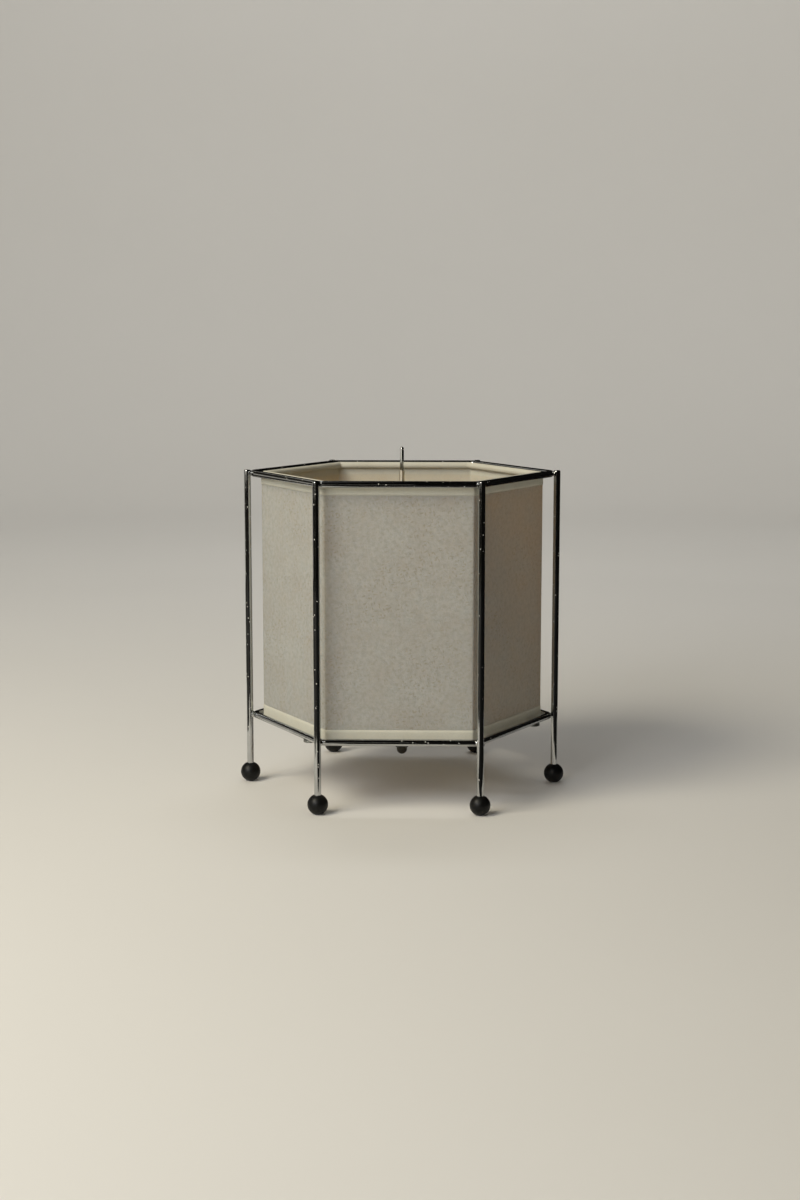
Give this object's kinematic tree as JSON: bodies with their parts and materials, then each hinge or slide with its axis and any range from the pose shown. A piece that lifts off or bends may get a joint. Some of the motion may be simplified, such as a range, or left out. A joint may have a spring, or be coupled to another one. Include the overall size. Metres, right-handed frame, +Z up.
{
  "type": "paper table lamp",
  "caption": "Hexagonal table lamp: a chrome rod frame on black ball feet holds a translucent paper shade, with screw lampholders inside and a push rod on the axis.",
  "frame": {"origin": "on the table plane under the lamp's axis, the bottom centre of its bounding box", "axes": "+Z up along the stem; a flat side of the hexagon, the picture's front, faces -Y; legs on +X and -X"},
  "size_m": [0.298, 0.2604, 0.309],
  "materials": {
    "chrome_rod": "polished chrome plate on drawn rod",
    "ball_black": "black satin lacquer on a turned ball",
    "plated_steel": "zinc plated",
    "black_steel": "blackened",
    "black_moulding": "moulded, matt",
    "brass": "plain, slightly dull",
    "bulb_glass": "frosted",
    "grommet_rubber": "matt",
    "lead_cover": "extruded cover",
    "shade_paper": "long-fibred paper, laminated, matt",
    "hem_wire": "bright drawn wire"
  },
  "bodies": {
    "frame": {"ball_foot_1": "ball_black", "ball_foot_2": "ball_black", "ball_foot_3": "ball_black", "ball_foot_4": "ball_black", "ball_foot_5": "ball_black", "ball_foot_6": "ball_black", "bottom_ring": "chrome_rod", "cap_nut": "black_steel", "cup_washer": "plated_steel", "guide_tube": "chrome_rod", "holder_bracket": "plated_steel", "hub_plate": "plated_steel", "inlet_grommet": "grommet_rubber", "lamp_lead_left": "lead_cover", "lamp_lead_right": "lead_cover", "lampholder_contacts": "brass", "lampholder_left": "black_moulding", "lampholder_nuts": "plated_steel", "lampholder_right": "black_moulding", "leg_1": "chrome_rod", "leg_2": "chrome_rod", "leg_3": "chrome_rod", "leg_4": "chrome_rod", "leg_5": "chrome_rod", "leg_6": "chrome_rod", "nipple_left": "brass", "nipple_right": "brass", "screw_shell_left": "brass", "screw_shell_right": "brass", "spider_arm_1": "plated_steel", "spider_arm_2": "plated_steel", "spider_arm_3": "plated_steel", "switch_body": "black_moulding", "switch_can": "plated_steel", "switch_lead": "lead_cover", "switch_lid": "plated_steel", "switch_ring_nut": "plated_steel", "switch_spring": "plated_steel", "terminal_cup": "plated_steel", "terminal_ring": "black_moulding", "tie_bolt": "plated_steel", "top_ring": "chrome_rod"},
    "shade": {"paper_panel_1": "shade_paper", "paper_panel_2": "shade_paper", "paper_panel_3": "shade_paper", "paper_panel_4": "shade_paper", "paper_panel_5": "shade_paper", "paper_panel_6": "shade_paper", "shade_bottom_wire": "hem_wire", "shade_top_wire": "hem_wire"},
    "push_rod": {"push_rod": "chrome_rod"},
    "bulb_left": {"bulb_glass_left": "bulb_glass", "bulb_cap_left": "brass"},
    "bulb_right": {"bulb_glass_right": "bulb_glass", "bulb_cap_right": "brass"}
  },
  "joints": [
    {"name": "shade_lift", "type": "slide", "parent": "frame", "child": "shade", "axis": [0, 0, 1], "range_m": [0, 0.26]},
    {"name": "push_rod_press", "type": "slide", "parent": "frame", "child": "push_rod", "axis": [0, 0, -1], "range_m": [0, 0.004], "stiffness_N_per_m": 400, "springref_m": -0.004, "deforming": ["switch_spring"]},
    {"name": "bulb_left_unscrew", "type": "hinge", "parent": "frame", "child": "bulb_left", "pos_m": [-0.03571, -0.013, 0.1], "axis": [0, 0, 1], "range_deg": [0, 1080]},
    {"name": "bulb_right_unscrew", "type": "hinge", "parent": "frame", "child": "bulb_right", "pos_m": [0.03571, 0.013, 0.1], "axis": [0, 0, 1], "range_deg": [0, 1080]}
  ]
}
